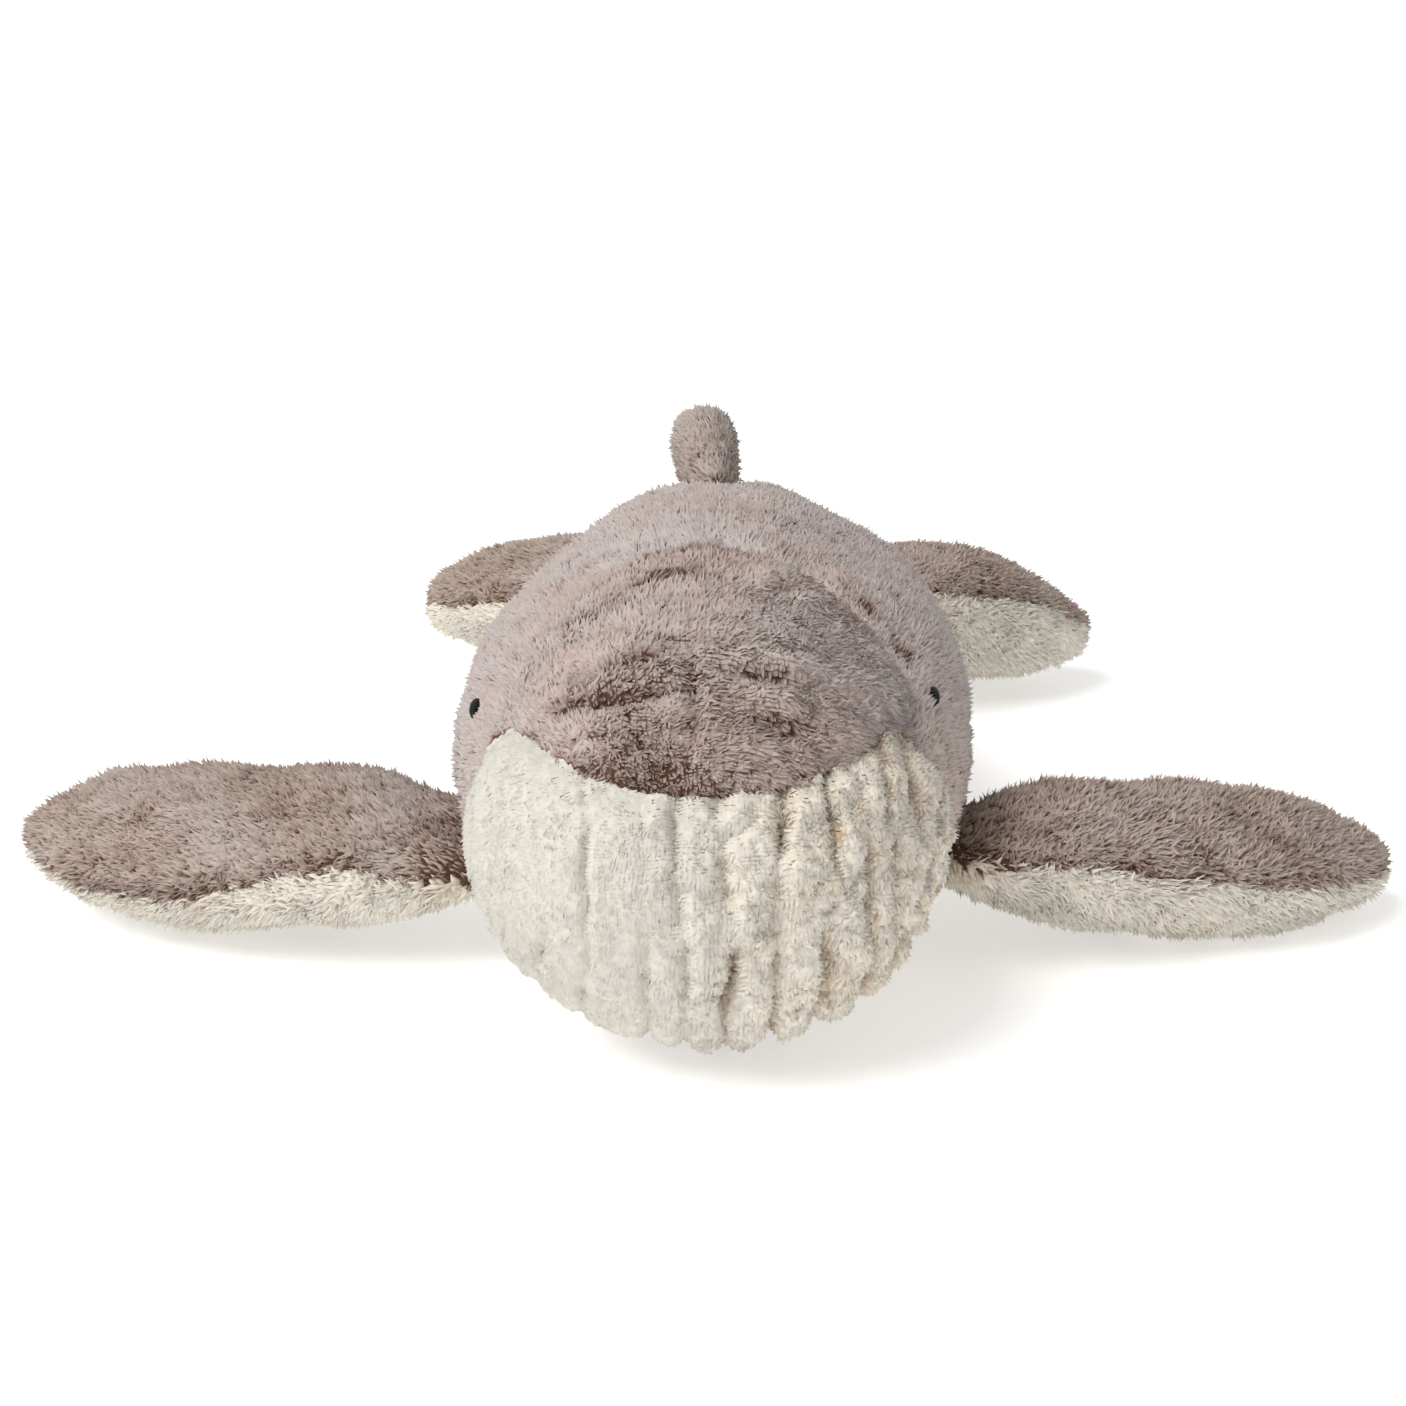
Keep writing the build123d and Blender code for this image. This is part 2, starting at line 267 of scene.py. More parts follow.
def thread_material(name, dye):
    """Satin stitching: dark thread with a soft lustre that changes from strand to strand, painted as paler strands
    in its colour, with roughness that changes with them.
    """
    material, tree, surface = new_material(name)
    strand = spots(tree, 900.0, 2.0, (1.0, 1.0, 3.0))
    # Painted sheen: the paler colour that lustrous strands are mixed towards.
    paler = tuple(3.2 * value + 0.01 for value in dye)
    colour = mixed(tree, (strand * 1.4 - 0.5).clamp(), dye, paler)
    tree.links.new(colour.socket, surface.inputs["Base Color"])
    tree.links.new((strand * 0.3 + 0.42).socket, surface.inputs["Roughness"])
    return material


# Mesh helpers -----------------------------------------------------------------------------------------
def finish_piece(name, bm, material, body):
    """A new object at the origin from a bmesh, riding on a body when one is given."""
    mesh = bpy.data.meshes.new(name)
    bm.to_mesh(mesh)
    bm.free()
    mesh.materials.append(material)
    soften(mesh)
    piece = bpy.data.objects.new(name, mesh)
    bpy.context.scene.collection.objects.link(piece)
    if body:
        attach(piece, body)
    return piece


def soften(mesh):
    """Lights a pile partly as the cloth under it, as soft fibres are, and not as hard needles."""
    cloth = mesh.attributes.get("cloth")
    if cloth is None:
        return
    normals = []
    for under, own in zip(cloth.data, mesh.vertex_normals):
        guide = Vector(under.vector)
        normals.append((guide * SOFTNESS + own.vector * (1.0 - SOFTNESS)).normalized() if guide.length > 0.5
                       else own.vector.copy())
    mesh.normals_split_custom_set_from_vertices(normals)
    mesh.attributes.remove(mesh.attributes.get("cloth"))


def applied(piece):
    """The piece's mesh with its modifiers applied."""
    bpy.context.view_layer.update()
    graph = bpy.context.evaluated_depsgraph_get()
    mesh = bpy.data.meshes.new_from_object(piece.evaluated_get(graph))
    piece.modifiers.clear()
    piece.data = mesh
    return mesh


class Pattern:
    """The outer faces of some CAD nodes, to find which panel a point belongs to and where its cloth lies."""

    def __init__(self, nodes):
        self.nodes = nodes
        self.owner = []
        corners = []
        faces = []
        for index, node in enumerate(nodes):
            mesh = frame["nodes"][node].data
            first = len(corners)
            corners += [vertex.co.copy() for vertex in mesh.vertices]
            faces += [[first + i for i in face.vertices] for face in mesh.polygons]
            self.owner += [index] * len(mesh.polygons)
        self.tree = BVHTree.FromPolygons(corners, faces)

    def panel(self, place):
        _, _, face, _ = self.tree.find_nearest(place)
        return self.owner[face]

    def outside(self, place, normal, reach=0.02):
        """The point of the outer face over a point that lies under it."""
        hit, _, _, _ = self.tree.ray_cast(place + normal * reach, -normal, 2 * reach)
        return hit if hit else place


def swollen(form, pattern, swell):
    """Lets the filling swell the cloth between its seams, which hold still, by no more than a cap."""
    scene = bpy.context.scene
    mesh = form.data
    bm = bmesh.new()
    bm.from_mesh(mesh)
    bm.faces.ensure_lookup_table()
    panels = [pattern.panel(face.calc_center_median()) for face in bm.faces]
    tree, _ = seam_tree(bm, panels)
    before = [vert.co.copy() for vert in bm.verts]
    sewn = form.vertex_groups.new(name="sewn")
    for index, place in enumerate(before):
        hold = 1.0 - smooth_step(2 * MM, 9 * MM, tree.find(place)[2])
        if place.z < 2.5 * MM:
            hold = 1.0
        if hold > 0.0:
            sewn.add([index], hold, "REPLACE")
    bm.free()
    filling = form.modifiers.new("filling", "CLOTH")
    cloth = filling.settings
    cloth.quality = 5
    cloth.mass = 0.3
    cloth.bending_stiffness = 0.4
    cloth.vertex_group_mass = sewn.name
    cloth.use_pressure = True
    cloth.uniform_pressure_force = 4.0
    cloth.shrink_min = -0.035
    cloth.effector_weights.gravity = 0.0
    filling.point_cache.frame_start = 1
    filling.point_cache.frame_end = CLOTH_FRAMES
    for number in range(1, CLOTH_FRAMES + 1):
        scene.frame_set(number)
    blown = form.evaluated_get(bpy.context.evaluated_depsgraph_get()).data
    after = [vert.co.copy() for vert in blown.vertices]
    form.modifiers.remove(filling)
    scene.frame_set(1)
    for vert, start, end in zip(mesh.vertices, before, after):
        move = end - start
        if move.length > swell:
            move *= swell / move.length
        vert.co = start + move
    mesh.update()


def stuffed_form(name, filling, pattern, grid, swell):
    """The filling's form let out to the cloth, in even squares, then blown up a little inside its seams."""
    bm = bmesh.new()
    bm.from_mesh(frame["nodes"][filling].data)
    bmesh.ops.remove_doubles(bm, verts=bm.verts, dist=0.02 * MM)
    form = finish_piece(name, bm, None, None)
    remesh = form.modifiers.new("squares", "REMESH")
    remesh.mode = "VOXEL"
    remesh.voxel_size = grid
    mesh = applied(form)
    bm = bmesh.new()
    bm.from_mesh(mesh)
    bm.normal_update()
    for _ in range(2):
        bmesh.ops.smooth_vert(bm, verts=bm.verts, factor=0.5, use_axis_x=True, use_axis_y=True,
                              use_axis_z=True)
    bm.normal_update()
    for vert in bm.verts:
        vert.co = pattern.outside(vert.co, vert.normal)
    bm.to_mesh(mesh)
    bm.free()
    swollen(form, pattern, swell)
    divide = form.modifiers.new("finer", "SUBSURF")
    divide.levels = 2
    divide.render_levels = 2
    return form, applied(form)


def seam_tree(bm, panels):
    """The seam points between panels, for their distance, with each one's pair of panels."""
    found = []
    for edge in bm.edges:
        if len(edge.link_faces) == 2:
            a, b = (panels[face.index] for face in edge.link_faces)
            if a != b:
                found.append(((edge.verts[0].co + edge.verts[1].co) / 2, frozenset((a, b))))
    tree = KDTree(len(found))
    for index, (place, _) in enumerate(found):
        tree.insert(place, index)
    tree.balance()
    return tree, [pair for _, pair in found]


def valley(distance, width):
    return exp(-(distance / width) ** 2)


def smooth_step(low, high, value):
    share = min(1.0, max(0.0, (value - low) / (high - low)))
    return share * share * (3 - 2 * share)


def path_distance(place, path):
    """Distance from a point to a line through a few points, and how far along the line that is, 0 to 1."""
    best = (1e9, 0.0)
    runs = len(path) - 1
    for index in range(runs):
        start, end = path[index], path[index + 1]
        run = end - start
        share = min(1.0, max(0.0, (place - start).dot(run) / run.length_squared))
        gap = (place - start - run * share).length
        if gap < best[0]:
            best = (gap, (index + share) / runs)
    return best


# Pile -------------------------------------------------------------------------------------------------
def cut_panel(bm, keep, backing):
    """Keeps some faces of a form and gives them a wall, so that the panel is closed cloth."""
    bmesh.ops.delete(bm, geom=[face for face in bm.faces if face.index not in keep], context="FACES")
    loose = [vert for vert in bm.verts if not vert.link_faces]
    bmesh.ops.delete(bm, geom=loose, context="VERTS")
    bm.normal_update()
    under = list(bm.faces)
    normals = {vert: vert.normal.copy() for vert in bm.verts}
    grown = bmesh.ops.extrude_face_region(bm, geom=under, use_keep_orig=True)["geom"]
    outer = [item for item in grown if isinstance(item, bmesh.types.BMFace)]
    for vert, normal in normals.items():
        vert.co -= normal * backing
    bmesh.ops.reverse_faces(bm, faces=under)
    bm.normal_update()
    return outer


def clumped(place, cell):
    """How near a place is to the edge of its clump, 0 to 1, and the middle of that clump."""
    squeezed = Vector(a / b for a, b in zip(place, cell))
    gaps, centres = noise.voronoi(squeezed)
    middle = Vector(a * b for a, b in zip(centres[0], cell))
    return 1.0 - smooth_step(0.03, 0.38, gaps[1] - gaps[0]), min(1.0, gaps[0]), middle


def loose(tall):
    """How freely a tuft strays from its place: less where the pile is cut short."""
    return 0.25 + 0.75 * smooth_step(0.30, 0.62, tall)


def grow_pile(bm, outer, seed, nap, cell, height, lean, settle, parting=EDGE_PARTING):
    """Draws every square of cloth up into a tuft, gathers the tufts into clumps and marks tips, partings with their
    roots and painted shade, and the painted sheen.

    nap(place) gives the way the pile lies, and settle(place) how tall it is there, how far roots and painted shade
    show, and how much painted sheen it gets.
    """
    draw = Random(seed)
    tip_layer = bm.verts.layers.float.new("tip")
    root_shade_layer = bm.verts.layers.float.new("parted")
    brushed_sheen_layer = bm.verts.layers.float.new("brushed")
    cloth_layer = bm.verts.layers.float_vector.new("cloth")
    skin = {vert for face in outer for vert in face.verts}
    for vert in bm.verts:
        if vert not in skin:
            continue
        place = vert.co.copy()
        edge, _, _ = clumped(place, cell)
        tall, parted, brushed = settle(place)
        rise = draw.random()
        vert[cloth_layer] = vert.normal
        slide = Vector((draw.random() - 0.5, draw.random() - 0.5, draw.random() - 0.5)) * (
            0.9 * MM * loose(tall))
        vert[tip_layer] = 0.55 * rise
        # The clumps' edges show roots and painted shade, added to what settle() gives.
        vert[root_shade_layer] = max(-0.55, edge * parting + parted)
        vert[brushed_sheen_layer] = brushed
        vert.co = place + slide + vert.normal * tall * height * (0.32 * rise - 0.30 * edge)
    tops = bmesh.ops.poke(bm, faces=outer)["verts"]
    bm.normal_update()
    for vert in tops:
        place = vert.co.copy()
        normal = vert.normal
        _, off, middle = clumped(place, cell)
        tall, parted, brushed = settle(place)
        way = nap(place) + noise.noise_vector(place * 55.0) * 0.70 + noise.noise_vector(place * 230.0) * 0.30
        way = way - normal * way.dot(normal)
        gather = middle - place
        gather = gather - normal * gather.dot(normal)
        lift = tall * height * (0.68 + 0.60 * draw.random()) * (1.12 - 0.45 * off)
        move = normal * lift + way * (lean * (0.6 + 0.8 * draw.random())) + gather * 0.40
        slide = Vector((draw.random() - 0.5, draw.random() - 0.5, draw.random() - 0.5)) * (
            0.6 * MM * loose(tall))
        vert[tip_layer] = 0.70 + 0.30 * draw.random()
        # Tips take only a capped share of the painted shade.
        vert[root_shade_layer] = min(0.70, max(0.0, parted) * 0.85)
        vert[brushed_sheen_layer] = brushed
        vert[cloth_layer] = normal
        vert.co = place + move + slide
    for vert in bm.verts:
        vert.co.z = max(vert.co.z, 0.2 * MM)
    for face in bm.faces:
        face.smooth = True


def flat_map(bm, outer, spread):
    """The panel's own map: the cloth laid flat over most of the square, its back in a small corner."""
    layer = bm.loops.layers.uv.new("OFBake")
    front = {vert for face in outer if face.is_valid for vert in face.verts}
    places = {vert: spread(vert.co) for vert in bm.verts}
    low = Vector((min(p[0] for p in places.values()), min(p[1] for p in places.values())))
    high = Vector((max(p[0] for p in places.values()), max(p[1] for p in places.values())))
    size = high - low
    for face in bm.faces:
        seen = all(vert in front for vert in face.verts)
        for loop in face.loops:
            place = places[loop.vert]
            u = (place[0] - low.x) / size.x
            v = (place[1] - low.y) / size.y
            if seen:
                loop[layer].uv = (0.01 + 0.98 * u, 0.10 + 0.89 * v)
            else:
                loop[layer].uv = (0.01 + 0.08 * u, 0.01 + 0.08 * v)


# Body -------------------------------------------------------------------------------------------------
def pleat_lines():
    """Sewn grooves of the throat, across the jaw: place, depth and width of each, in millimetres."""
    return (
        (-77.0, 1.2, 2.4), (-60.0, 1.8, 2.6), (-44.0, 2.8, 1.8), (-23.0, 3.0, 2.8), (-9.0, 3.2, 2.6),
        (6.0, 5.6, 2.8), (24.0, 5.6, 2.8), (42.0, 4.4, 2.8), (55.0, 3.2, 2.5), (65.0, 2.6, 2.3),
        (74.0, 2.2, 2.1), (82.0, 1.8, 2.0),
    )


def forehead_folds():
    """Folds pressed into the forehead in plan: points, depth and width, in millimetres."""
    return (
        (((-70, -208), (-54, -221), (-39, -232), (-26, -234), (-16, -229), (-2, -219)), 8.0, 6.5),
        (((-6, -238), (11, -247), (32, -247), (54, -234)), 6.0, 5.5),
        (((-62, -236), (-50, -246), (-31, -256), (-9, -258)), 5.0, 4.6),
        (((-60, -180), (-44, -191), (-25, -198), (-4, -192)), 6.0, 6.0),
        (((-7, -224), (-6, -248), (-5, -267), (-8, -286)), 1.6, 3.2),
        (((22, -168), (30, -158), (42, -152)), 5.6, 5.0),
        (((-40, -166), (-26, -158), (-8, -150), (6, -140)), 4.0, 5.0),
        (((6, -222), (24, -228), (40, -222), (54, -208)), 5.0, 5.5),
        (((12, -266), (26, -268), (40, -260)), 4.0, 4.5),
    )


def crease_line():
    """The deep crease behind the forehead's seam on the whale's left, in plan, in millimetres."""
    return ((30, -104), (42, -116), (54, -124), (66, -134), (76, -148), (82, -160))


def shape_body(bm, panels, pattern):
    """Sews the throat's pleats, the folds, the seams and the soft unevenness of the filling into the form, and
    returns where roots show and painted shade darkens the pile in them.
    """
    cloth = bpy.context.scene.whale_cloth
    bm.faces.ensure_lookup_table()
    tree, pairs = seam_tree(bm, panels)
    names = pattern.nodes
    throat = names.index("throat_panel")
    belly = names.index("belly_panel")
    forehead = names.index("forehead_panel")
    folds = [([Vector((x * MM, y * MM, 0.0)) for x, y in path], depth * MM, width * MM)
             for path, depth, width in forehead_folds()]
    crease = [Vector((x * MM, y * MM, 0.0)) for x, y in crease_line()]
    parted = {}
    moves = {}
    for vert in bm.verts:
        place = vert.co
        owners = {panels[face.index] for face in vert.link_faces}
        _, nearest, gap = tree.find(place)
        pair = {names[index] for index in pairs[nearest]}
        depth = cloth.seam_depth
        width = cloth.seam_width
        if pair == {"forehead_panel", "back_panel_left"}:
            depth *= 1.5
        elif pair == {"back_panel_left", "back_panel_right"}:
            depth *= 0.35
        elif pair == {"belly_panel", "throat_panel"}:
            depth *= 1.6
        inward = depth * valley(gap, width)
        # Roots showing and painted shade in each seam's valley, none on the back's middle seam.
        shown = 0.35 * valley(gap, 0.6 * width) if pair != {"back_panel_left", "back_panel_right"} else 0.0
        sway = noise.noise(place * 28.0) * 2.2 * MM + noise.noise(place * 11.0) * 2.4 * MM
        inward -= sway * 0.55
        if throat in owners:
            fade = 0.6 + 0.4 * smooth_step(0.0, 14 * MM, gap)
            wander = noise.noise(Vector((place.x * 26.0, 3.0, place.z * 24.0))) * 6.0 * MM
            wander += noise.noise(Vector((place.x * 60.0, 7.0, place.z * 75.0))) * 2.2 * MM
            for across, deep, wide in pleat_lines():
                at = valley(place.x + wander - across * MM, wide * MM)
                low = 1.0 - smooth_step(50 * MM, 85 * MM, place.z)
                always = 0.25 + 0.45 * low
                uneven = always + (1.2 - always) * smooth_step(-0.35, 0.30, noise.noise(
                    Vector((across, place.y * 26.0, place.z * 30.0))))
                inward += deep * MM * at * fade * uneven * (1.0 + 0.5 * low)
                # Painted shade in each pleat's groove, over the cream's peach roots, stronger low on the throat.
                shown += (0.85 + 0.45 * low) * at * min(1.0, deep / 4.0) * uneven
            right = 0.25 + 0.75 * smooth_step(-35 * MM, 15 * MM, place.x)
            lumps = noise.noise(place * 62.0) * 2.6 + noise.noise(place * 120.0) * 1.9
            inward -= right * (lumps * (1.0 + 0.4 * right) + noise.noise(place * 210.0) * 0.9) * MM
        if forehead in owners:
            for path, deep, wide in folds:
                flat = Vector((place.x, place.y, 0.0))
                away, along = path_distance(flat, path)
                # Painted shade on each fold's wall towards +y, where the roots show too.
                wall, _ = path_distance(flat - Vector((0.0, 0.6 * wide, 0.0)), path)
                taper = sin(pi * min(0.96, max(0.08, along)))
                inward += deep * taper * (valley(away, wide) - 0.45 * valley(away - 1.9 * wide, wide))
                shown += 0.80 * taper * valley(wall, 0.55 * wide)
            inward -= 3.0 * MM * wave(place) * smooth_step(-290 * MM, -262 * MM, place.y)
        if place.x > 0.03 and place.z > 0.09:
            flat = Vector((place.x, place.y, 0.0))
            away, along = path_distance(flat, crease)
            # Painted shade along the crease's wall towards +y, patchy along its length.
            wall, _ = path_distance(flat - Vector((2.0 * MM, 3.0 * MM, 0.0)), crease)
            taper = sin(pi * min(0.93, max(0.1, along)))
            inward += 4.0 * MM * taper * valley(away, 4.6 * MM)
            shown += 1.25 * taper * valley(wall, 3.4 * MM) * (0.75 + 0.8 * noise.noise(place * 90.0))
        else:
            inward -= noise.noise(place * 120.0) * 0.8 * MM
        shoulder = valley(abs(place.x) - 62 * MM, 26 * MM) * smooth_step(95 * MM, 125 * MM, place.z)
        inward += 6.0 * MM * shoulder * smooth_step(-110 * MM, -40 * MM, place.y)
        cheek = valley(place.z - 88 * MM, 26 * MM) * valley(place.y + 110 * MM, 60 * MM)
        inward -= 3.2 * MM * cheek * smooth_step(60 * MM, 90 * MM, place.x)
        if place.z < 3.0 * MM:
            inward = max(0.0, inward * 0.3)
        moves[vert] = inward
        parted[vert] = min(2.0, max(-0.4, shown))
    for vert, inward in moves.items():
        vert.co -= vert.normal * inward
    bm.normal_update()
    found = KDTree(len(parted))
    values = []
    for vert, value in parted.items():
        found.insert(vert.co, len(values))
        values.append(value)
    found.balance()
    return found, values


def wave(place):
    """Soft waves that run across the forehead and the crown, from -1 to 1."""
    return noise.noise(Vector((place.x * 17.0, place.y * 64.0, 5.0))) + 0.45 * noise.noise(
        Vector((place.x * 34.0, place.y * 150.0, 9.0)))


def pile_tone_and_painted_light(panel, place):
    """How far roots and painted shade show at a place on the body, with sides darkened or lightened as painted
    light, and how much painted sheen the pile gets there.
    """
    drift = noise.noise(place * 26.0)
    ripple = noise.noise(Vector((place.x * 30.0, place.y * 70.0, place.z * 70.0)))
    if panel in CREAM_PANELS:
        # Painted shade on the throat and belly towards +x, away from the key light: more root colour, more
        # unevenness and less sheen colour; towards -x the greyer sheen colour tones down the lit side.
        right = smooth_step(-25 * MM, 30 * MM, place.x)
        deep = smooth_step(20 * MM, 70 * MM, place.x)
        root_show_and_shade = -0.45 + 0.40 * right + 0.36 * deep + (0.05 + 0.32 * right) * (drift + 0.8 * ripple)
        return root_show_and_shade, 0.95 - 0.80 * right
    rear = smooth_step(-150 * MM, -60 * MM, place.y)
    flank = (0.06 + (0.32 + 0.14 * rear) * drift + 0.62 * ripple, 0.62 + 0.50 * drift + 0.3 * ripple)
    top = smooth_step(130 * MM, 150 * MM, place.z) * smooth_step(-130 * MM, -100 * MM, place.y)
    if panel != "forehead_panel":
        return flank[0] + top * (-0.12 - 0.8 * wave(place)), flank[1] + 0.5 * top * wave(place)
    # Darker towards the mouth, under the forehead's overhang: roots showing and painted shade, with less sheen
    # colour.
    near_mouth = 1.0 - smooth_step(-290 * MM, -236 * MM, place.y)
    # Painted light: the forehead's +x side is lightened and keeps more of its own tone, against the shade the key
    # light leaves there.
    right = smooth_step(-10 * MM, 50 * MM, place.x)
    root_show_and_shade = 0.04 - 0.78 * right * (1.0 - near_mouth) + 0.38 * near_mouth + 0.26 * drift + 0.30 * ripple
    root_show_and_shade -= 0.75 * wave(place)
    brushed = 0.30 + 0.40 * drift + 0.10 * right - 0.55 * near_mouth
    arch = Vector((place.x / (80 * MM), max(0.0, place.y + 214 * MM) / (106 * MM))).length
    outer = smooth_step(0.66, 1.0, arch) * (1.0 - 0.6 * right)
    root_show_and_shade += (flank[0] - root_show_and_shade) * outer
    brushed += (flank[1] - brushed) * outer
    crown = valley(place.y + 134 * MM, 24 * MM) * valley(place.x - 10 * MM, 46 * MM)
    paler = valley(place.y + 196 * MM, 24 * MM) * valley(place.x - 12 * MM, 34 * MM)
    root_show_and_shade += crown * (0.65 - 0.9 * wave(place)) - 0.30 * paler
    return root_show_and_shade, min(1.0, max(0.0, brushed - 0.5 * crown))


def body_nap(panel):
    """The way the pile lies on a panel of the body, as a function of the place."""
    if panel == "forehead_panel":
        swept = Vector((0.40, 0.95, 0.15))
        fallen = Vector((0.50, -0.35, -0.30))
        return lambda place: swept.lerp(fallen, smooth_step(-34 * MM, 6 * MM, place.x + 0.5 * (-222 * MM - place.y)))
    ways = {
        "throat_panel": Vector((0.0, 0.25, -0.9)),
        "belly_panel": Vector((0.0, 1.0, 0.0)),
        "back_panel_left": Vector((0.15, 1.0, -0.15)),
        "back_panel_right": Vector((-0.15, 1.0, -0.15)),
    }
    return lambda place: ways[panel]


def body_spread(panel):
    """How a panel of the body is laid flat for its own map."""
    low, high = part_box(panel)
    middle = (low + high) / 2
    if panel == "throat_panel":
        return lambda place: bowl(place, Vector((middle.x, high.y - 20 * MM, 60 * MM)), Vector((0, -0.9, -0.44)))
    if panel in ("back_panel_left", "back_panel_right"):
        side = 1 if panel.endswith("left") else -1
        return lambda place: (place.y, place.z - side * place.x)
    return lambda place: (place.x, place.y)


def bowl(place, centre, axis):
    """Angles round and away from an axis, for a panel like a bowl."""
    arm = (place - centre).normalized()
    axis = axis.normalized()
    across = Vector((1.0, 0.0, 0.0))
    upward = across.cross(axis)
    turn = arm.angle(axis)
    flat = Vector((arm.dot(across), arm.dot(upward)))
    if flat.length < 1e-9:
        return (0.0, 0.0)
    flat = flat.normalized() * turn
    return (flat.x, flat.y)


class WHALE_OT_body(bpy.types.Operator):
    """Make the five sewn panels of the body and its filling's shape"""

    bl_idname = "whale.body"
    bl_label = "Body panels"

    def execute(self, context):
        scene = context.scene
        pile = scene.whale_pile
        pattern = Pattern(BODY_PANELS)
        form, mesh = stuffed_form("body_form", "body_stuffing", pattern, scene.whale_cloth.body_grid, 2 * MM)
        bm = bmesh.new()
        bm.from_mesh(mesh)
        panels = [pattern.panel(face.calc_center_median()) for face in bm.faces]
        found, values = shape_body(bm, panels, pattern)
        bm.to_mesh(mesh)
        bm.free()
        eyes = [sum(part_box(name), Vector()) / 2 for name in ("eye_left", "eye_right")]
        looks = {
            "throat_panel": (0.52, 0.50, (1.0, 1.0, 1.25)),
            "belly_panel": (0.60, 0.80, (1.0, 1.5, 1.0)),
            "forehead_panel": (0.78, 1.30, (1.5, 1.1, 0.9)),
            "back_panel_left": (0.60, 1.30, (1.0, 2.4, 1.0)),
            "back_panel_right": (0.60, 1.30, (1.0, 2.4, 1.0)),
        }
        for index, panel in enumerate(BODY_PANELS):
            tall, lie, cell = looks[panel]

            def settle(place):
                _, nearest, _ = found.find(place)
                away = min((place - eye).length for eye in eyes)
                pressed = 0.20 + 0.80 * smooth_step(5.0 * MM, 10 * MM, away)
                root_show_and_shade, brushed = pile_tone_and_painted_light(panel, place)
                high = tall * pressed * (1.0 + 0.30 * noise.noise(place * 40.0))
                if cream:
                    high *= 0.72 + 0.48 * smooth_step(-40 * MM, 10 * MM, place.x)
                return high, values[nearest] + root_show_and_shade, brushed

            bm = bmesh.new()
            bm.from_mesh(mesh)
            bm.faces.ensure_lookup_table()
            keep = {face.index for face in bm.faces if panels[face.index] == index}
            outer = cut_panel(bm, keep, pile.backing)
            sizes = [share * pile.clump for share in cell]
            cream = panel in CREAM_PANELS
            coat = "cream" if cream else "forehead" if panel == "forehead_panel" else "back"
            grow_pile(bm, outer, 11 + index, body_nap(panel), sizes, pile.height, lie * pile.lay, settle,
                      CREAM_PARTING if cream else FLAT_PARTING if coat == "back" else 0.8 * EDGE_PARTING)
            flat_map(bm, list(bm.faces), body_spread(panel))
            piece = finish_piece(f"{panel}_plush", bm, bpy.data.materials[f"{coat} pile"], "body")
            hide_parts(panel, *(["body_stuffing"] if panel == "belly_panel" else []))
        bpy.data.objects.remove(form)
        return {"FINISHED"}


# Fins -------------------------------------------------------------------------------------------------
def fin_frame(body):
    """A fin's own directions: its root, the way out to its tip, its seam's line and its upper side."""
    joint = HINGES[body]
    root = Vector(joint["pos_m"])
    seam = Vector(joint["axis"]).normalized()
    if seam.y < 0:
        seam = -seam
    filling = f"{body}_stuffing"
    low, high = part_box(filling)
    out = (low + high) / 2 - root
    out = (out - seam * out.dot(seam)).normalized()
    upper = out.cross(seam).normalized()
    if body != "dorsal_fin" and upper.z < 0:
        upper = -upper
    return root, out, seam, upper


